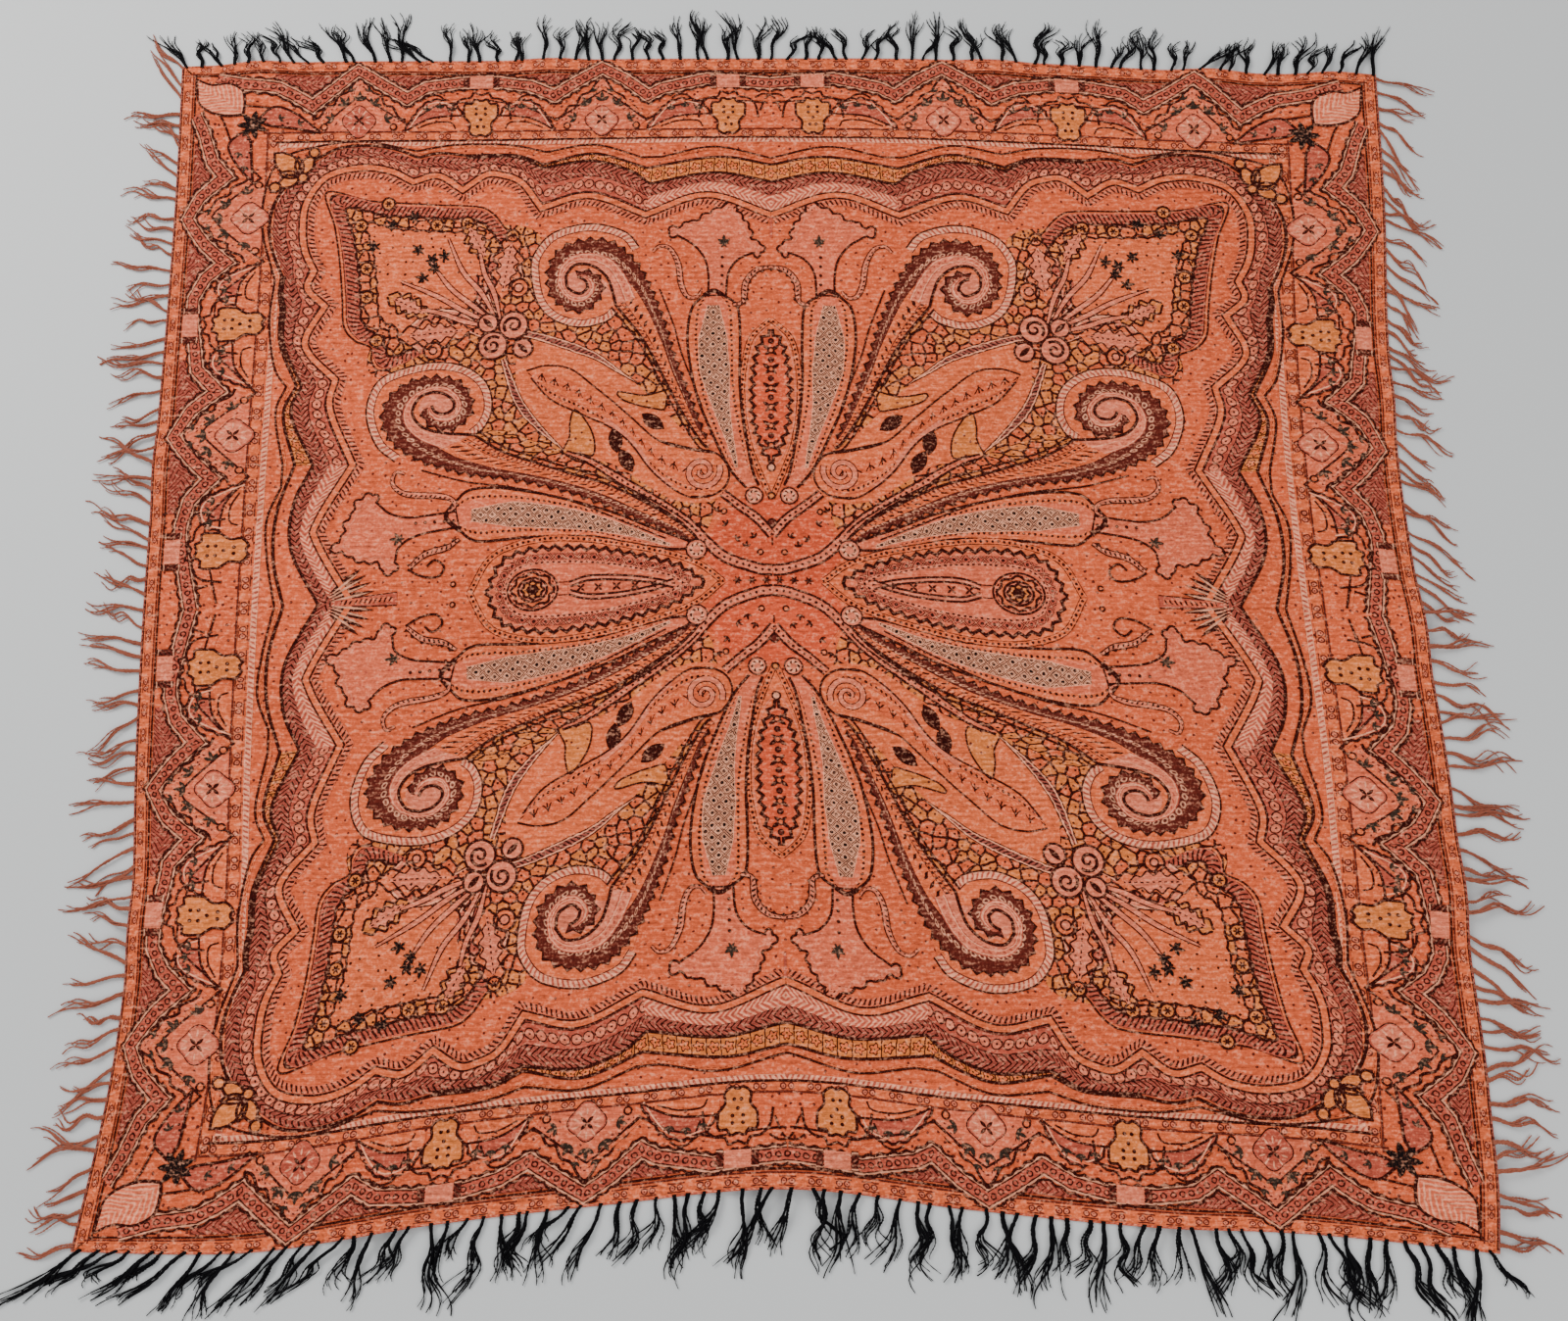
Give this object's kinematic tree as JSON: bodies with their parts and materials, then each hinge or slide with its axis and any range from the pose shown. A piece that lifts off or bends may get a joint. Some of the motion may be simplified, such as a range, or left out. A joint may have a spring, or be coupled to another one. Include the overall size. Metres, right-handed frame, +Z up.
{
  "type": "paisley shawl",
  "caption": "Square woollen shawl with a woven paisley design, spread flat, with short yarn fringe on every side.",
  "frame": {"origin": "on the floor under the middle of the woven design, on the cloth's flat underside", "axes": "+X to the shawl's right side and +Y to its far side as the picture shows it, +Z up through the cloth"},
  "size_m": [1.7847, 1.6954, 0.0132],
  "materials": {
    "paisley_wool": "matte twill wool, slightly fuzzy",
    "rust_yarn": "matte plied wool",
    "black_yarn": "matte plied wool"
  },
  "bodies": {
    "root": {"woven_panel": "paisley_wool", "far_fringe": "black_yarn", "near_fringe": "black_yarn", "left_fringe": "rust_yarn", "right_fringe": "rust_yarn"}
  },
  "joints": []
}
